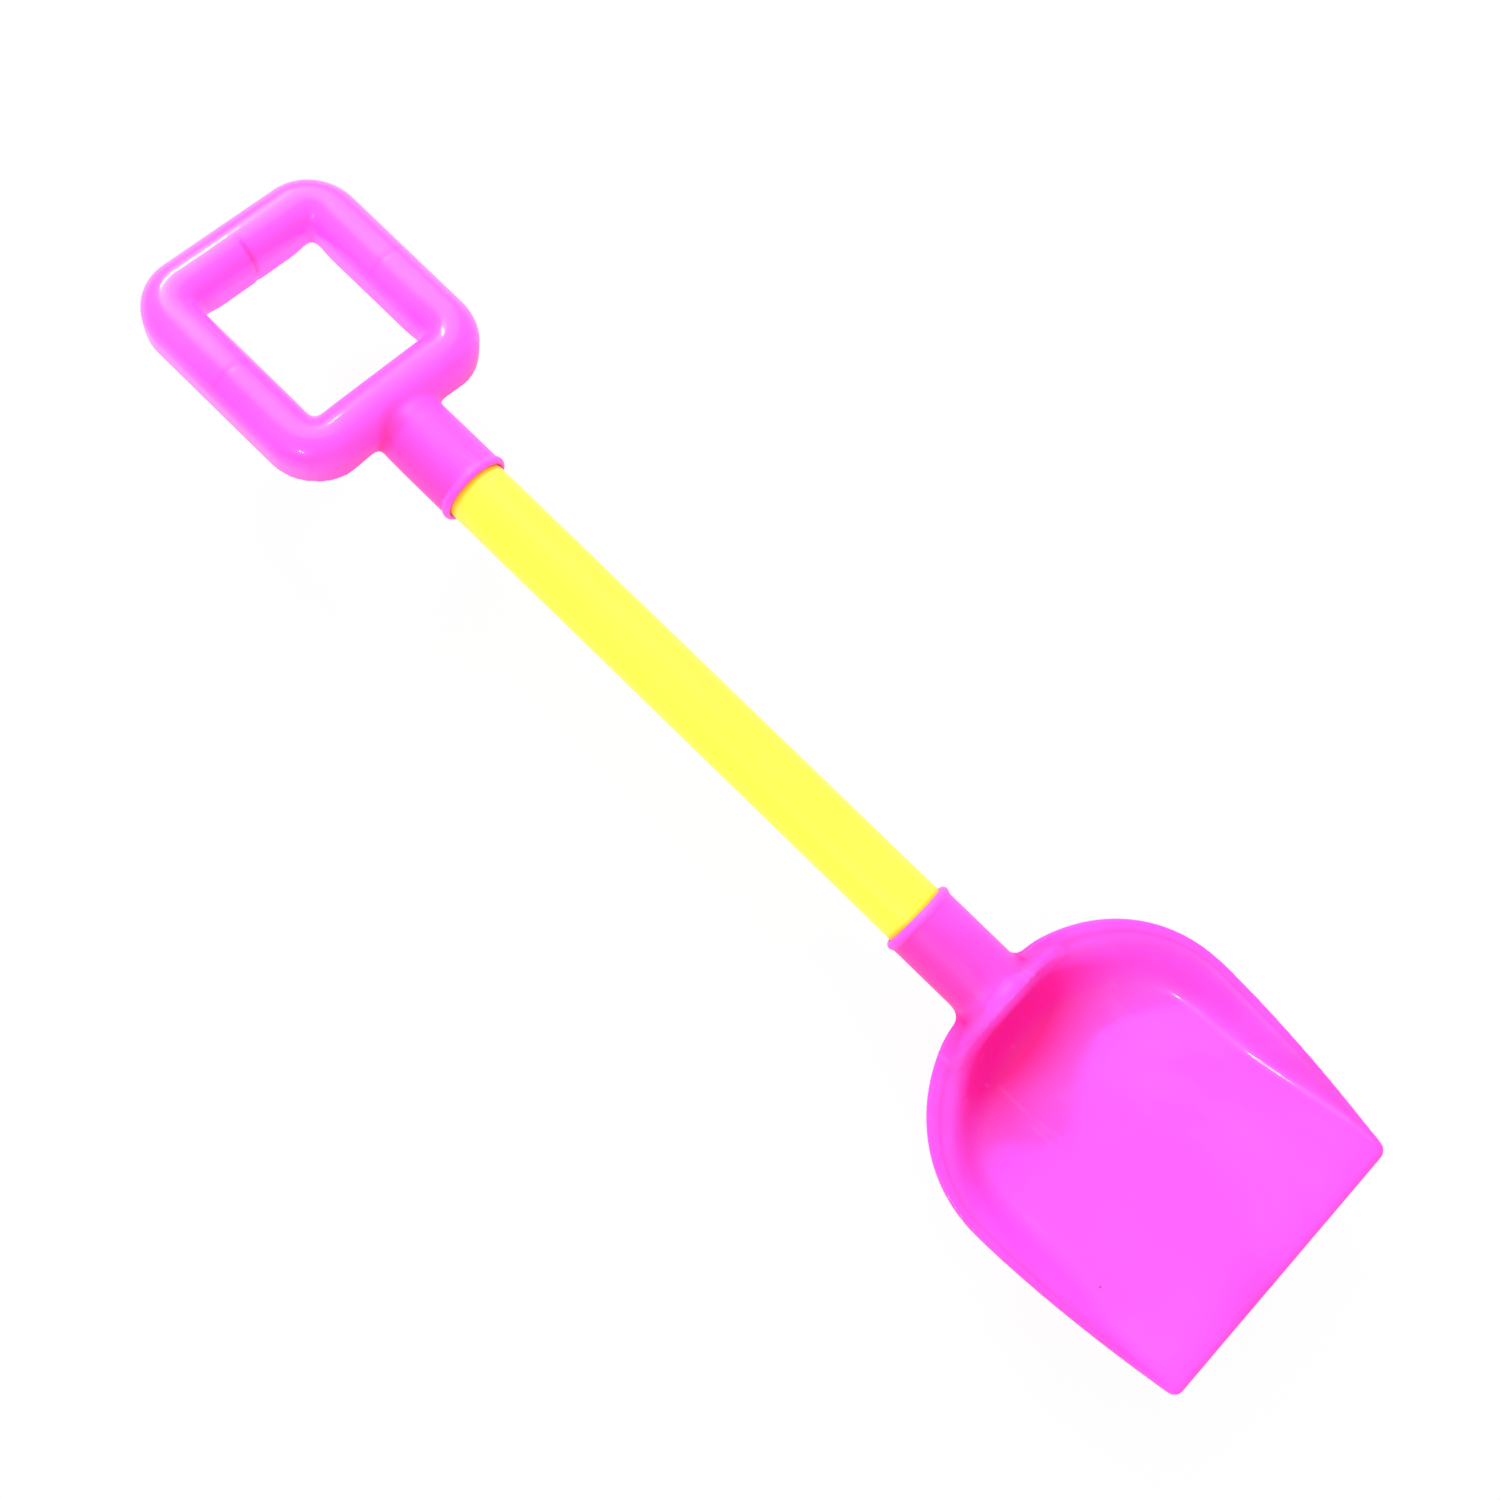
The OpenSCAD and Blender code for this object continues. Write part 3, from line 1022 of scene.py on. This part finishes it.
        # Painted shade on the socket, darker on its -y side, which lies in shade.
        socket = self.socket_shade_share - self.socket_shade_lean * normal[:, 1]
        socket *= self.socket_start.over(past_ring) * self.past_bead.over(to_mouth)
        # Painted shade on outer sides that face down, toward the front of the ring.
        outer = np.abs(across) > (self.ring_width - self.bar_width) / 2
        outer |= past_ring > -self.bar_width / 2
        sides = self.underside_shade_share * self.outer_facing.over(normal[:, 2]) * outer
        sides *= self.outer_along.over(along) * self.outer_end.over(past_ring)
        # Painted shade in the fold round the socket where it meets the ring.
        fold = self.fold_shade_share * self.fold_radius.over(np.hypot(across, rise))
        fold *= self.fold_along.over(past_ring) * self.fold_side.over(across)
        # Painted shade in the sink marks over the ribs.
        ribs = self.rib_shade_share * self.rib_marks()
        return np.maximum.reduce((foot, socket, sides, fold, ribs))

    def gloss(self) -> np.ndarray:
        """How polished the mould was: the socket and the front bar are duller than the ring.

        Returns:
            Shares from 0 to 1.
        """
        along, across, _ = self.ring_places().T
        to_front = self.ring_length / 2 - along
        middle = np.clip(self.front_gain * self.front_middle.over(across), 0, 1)
        dulled = self.front_dulled * self.front_bar.over(to_front) * middle
        return self.polished.over(to_front) * (1 - dulled)


@dataclass
class HandleTube(Piece):
    """The round tube between the two sockets."""

    node: str = TUBE_NODE
    piece_name: str = "handle_tube"
    body: Body = Body.ROOT
    slot: Slot = Slot.TUBE
    wall: float = 1.4 * MM
    slack: float = 0.04 * MM
    end_round: float = 0.3 * MM
    end_steps: int = 3
    end_angle: float = math.radians(60)
    end_facing: float = 0.9
    smooth_angle: float = math.radians(40)
    sides: int = 160
    # Painted shadow of each mouth's bead on the tube: distance from the mouth and share.
    mouth_shade_steps: tuple[tuple[float, float], ...] = (
        (0.0, 1.0), (0.6 * MM, 0.85), (1.8 * MM, 0.0))

    def mouth_shade_marks(self) -> list[tuple[float, float]]:
        """Places along the tube beside the two mouths, and how strongly the painted shadow of
        each mouth's bead darkens the yellow there.

        Returns:
            Place and share for each mark.
        """
        grip_mouth, blade_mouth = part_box(GRIP_NODE)[1].x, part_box(BLADE_NODE)[0].x
        return ([(grip_mouth + step, share) for step, share in self.mouth_shade_steps]
                + [(blade_mouth - step, share) for step, share in self.mouth_shade_steps])

    def build(self, material: bpy.types.Material) -> bpy.types.Object:
        """Builds the tube from a round bar and dresses it.

        Args:
            material: The finish.

        Returns:
            The finished piece.
        """
        self.add_bar()
        self.hollow()
        self.round_ends()
        # Painted shadow beside the two mouths, mixed toward the yellow's shade colour.
        places, shares = zip(*sorted(self.mouth_shade_marks()))
        self.store(Mark.THICK, np.interp(points_of(self.piece)[:, 0], places, shares))
        self.dress(material)
        return self.piece

    def add_bar(self) -> None:
        """Adds a round bar of the tube's length, just inside the tube's solid."""
        low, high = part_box(self.node)
        deselect_all()
        bpy.ops.mesh.primitive_cylinder_add(
            vertices=self.sides, radius=tube_radius() - self.slack, depth=high.x - low.x,
            end_fill_type="NGON", location=(low + high) / 2,
            rotation=(0.0, math.radians(90), 0.0))
        self.piece = bpy.context.object
        self.piece.name = self.piece.data.name = self.piece_name
        bpy.ops.object.transform_apply(location=True, rotation=True, scale=True)

    def hollow(self) -> None:
        """Opens the bar from end to end, and cuts it where its painted shadow beside the mouths
        changes.
        """
        bpy.ops.object.mode_set(mode="EDIT")
        bpy.ops.mesh.select_mode(type="FACE")
        bpy.ops.mesh.select_all(action="DESELECT")
        bpy.ops.object.mode_set(mode="OBJECT")
        for face in self.piece.data.polygons:
            face.select = abs(face.normal.x) > self.end_facing
        bpy.ops.object.mode_set(mode="EDIT")
        bpy.ops.mesh.inset(thickness=self.wall, depth=0.0, use_individual=True)
        bpy.ops.mesh.bridge_edge_loops()
        for place, _ in self.mouth_shade_marks():
            bpy.ops.mesh.select_all(action="SELECT")
            bpy.ops.mesh.bisect(plane_co=(place, 0.0, 0.0), plane_no=(1.0, 0.0, 0.0))
        bpy.ops.object.mode_set(mode="OBJECT")

    def round_ends(self) -> None:
        """Rounds the edges at the tube's ends, and shades it smooth between them."""
        rounded = self.piece.modifiers.new("rounded ends", "BEVEL")
        rounded.width = self.end_round
        rounded.segments = self.end_steps
        rounded.limit_method = "ANGLE"
        rounded.angle_limit = self.end_angle
        apply_modifiers(self.piece)
        bpy.ops.object.shade_smooth_by_angle(angle=self.smooth_angle)


@dataclass(frozen=True)
class Lamp:
    """One soft lamp of the studio, in degrees, metres and watts."""

    name: str
    azimuth: float
    elevation: float
    distance: float
    width: float
    height: float
    power: float

    def build(self) -> None:
        """Hangs the lamp so that it faces the middle of the shovel."""
        light = bpy.data.lights.new(self.name, "AREA")
        light.shape = "RECTANGLE"
        light.size, light.size_y = self.width, self.height
        light.energy = self.power
        lamp = bpy.data.objects.new(self.name, light)
        bpy.context.scene.collection.objects.link(lamp)
        turn, rise = math.radians(self.azimuth), math.radians(self.elevation)
        level = math.cos(rise)
        away = Vector((math.cos(turn) * level, math.sin(turn) * level, math.sin(rise)))
        lamp.location = away * self.distance
        lamp.rotation_euler = (-away).to_track_quat("-Z", "Y").to_euler()


@dataclass
class Studio:
    """Floor, lamps, sky and camera."""

    camera_place: Place = (47.293 * MM, -83.066 * MM, 520.437 * MM)
    camera_turn: Turn = (10.128, -3.380, 44.151)
    lens: float = 38.32
    sensor: float = 36.0
    floor_size: float = 8.0
    floor_drop: float = 22.0 * MM
    floor_paint: Colour = (0.9, 0.9, 0.9, 1.0)
    floor_glow: float = 0.93
    sky_colour: Colour = (1.0, 1.0, 1.0, 1.0)
    sky: float = 0.85
    mirrored_sky: float = 0.07
    lamps: tuple[Lamp, ...] = (
        Lamp("key lamp", 140.0, 44.0, 1.5, 1.3, 1.3, 9.5),
        Lamp("strip lamp", 160.0, 36.0, 1.3, 0.30, 0.06, 7.5),
        Lamp("side lamp", 284.5, 50.0, 1.3, 0.15, 0.045, 3.2),
    )

    def build(self) -> None:
        """Builds the stage."""
        self.build_floor()
        self.build_sky()
        for lamp in self.lamps:
            lamp.build()
        self.build_camera()

    def build_floor(self) -> None:
        """Lays a plain pale floor that keeps the shovel's shadow, clear of the turning grip."""
        deselect_all()
        bpy.ops.mesh.primitive_plane_add(
            size=self.floor_size, location=(0.0, 0.0, -self.floor_drop))
        floor = bpy.context.object
        floor.name = "floor"
        material = bpy.data.materials.new("pale floor")
        material.use_nodes = True
        nodes = material.node_tree.nodes
        tree = NodeTree(material.node_tree)
        nodes.remove(nodes["Principled BSDF"])
        paint = tree.add("ShaderNodeBsdfDiffuse")
        paint.inputs["Color"].default_value = self.floor_paint
        glow = tree.add("ShaderNodeEmission")
        rays = tree.add("ShaderNodeLightPath").outputs
        seen = tree.math("MAXIMUM", rays["Is Camera Ray"], rays["Is Glossy Ray"])
        seen = tree.math("MAXIMUM", seen, rays["Is Transmission Ray"])
        mixed = tree.add("ShaderNodeMixShader")
        tree.link(tree.math("MULTIPLY", seen, self.floor_glow), mixed.inputs["Fac"])
        tree.link(paint.outputs[0], mixed.inputs[1])
        tree.link(glow.outputs[0], mixed.inputs[2])
        tree.link(mixed.outputs[0], nodes["Material Output"].inputs["Surface"])
        floor.data.materials.append(material)

    def build_sky(self) -> None:
        """Sets an even white surround, dim in the plastic's gloss."""
        world = bpy.data.worlds.new("white surround")
        bpy.context.scene.world = world
        world.use_nodes = True
        tree = NodeTree(world.node_tree)
        background = world.node_tree.nodes["Background"]
        background.inputs["Color"].default_value = self.sky_colour
        rays = tree.add("ShaderNodeLightPath").outputs
        lit = tree.ramp(rays["Is Glossy Ray"], to=(self.sky, self.mirrored_sky))
        strength = tree.math("MAXIMUM", lit, rays["Is Camera Ray"])
        tree.link(strength, background.inputs["Strength"])

    def build_camera(self) -> None:
        """Sets the camera at the photographed angle."""
        data = bpy.data.cameras.new("camera")
        data.lens = self.lens
        data.sensor_width = self.sensor
        camera = bpy.data.objects.new("camera", data)
        bpy.context.scene.collection.objects.link(camera)
        camera.location = self.camera_place
        camera.rotation_euler = Euler([math.radians(turn) for turn in self.camera_turn], "XYZ")
        bpy.context.scene.camera = camera


PINK = PlasticFinish(
    name="pink moulded plastic",
    colour=(1.0, 0.104, 0.90, 1.0),
    drifted=(1.0, 0.074, 0.76, 1.0),
    # Hot pink of the painted shade.
    deep=(1.0, 0.006, 0.31, 1.0),
    pale_wear_and_highlight=(1.0, 0.30, 0.95, 1.0),
    drift_scale=16.0,
    drift_amount=0.85,
    roughness=0.34,
    scuffed_roughness=0.48,
    coat=0.34,
    skin_wave=40.0,
    skin_grain=1400.0,
    skin_amount=0.05,
    wear_and_highlight_amount=0.4,
    specks=((199.2 * MM, -41.9 * MM, 15.2 * MM),),
)

YELLOW = PlasticFinish(
    name="yellow drawn plastic",
    colour=(1.0, 0.91, 0.065, 1.0),
    drifted=(1.0, 0.84, 0.042, 1.0),
    # Orange of the painted shadow beside the mouths.
    deep=(1.0, 0.62, 0.01, 1.0),
    pale_wear_and_highlight=(1.0, 0.96, 0.34, 1.0),
    drift_scale=10.0,
    drift_amount=0.5,
    roughness=0.42,
    scuffed_roughness=0.6,
    coat=0.0,
    skin_wave=60.0,
    skin_grain=1100.0,
    skin_amount=0.12,
    wear_and_highlight_amount=0.3,
)


def main() -> None:
    """Builds the stage, then the shovel's pieces in order."""
    logging.basicConfig(level=logging.INFO)
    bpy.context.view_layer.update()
    bpy.context.scene.view_settings.view_transform = "Standard"
    effects = Effects()
    pink = PINK.material(effects)
    yellow = YELLOW.material(effects)
    Studio().build()
    for maker, finish in ((ScoopBlade(), pink), (HandleTube(), yellow), (RingGrip(), pink)):
        piece = maker.build(finish)
        LOG.info("%s: %d faces", piece.name, len(piece.data.polygons))


if __name__ == "__main__":
    main()
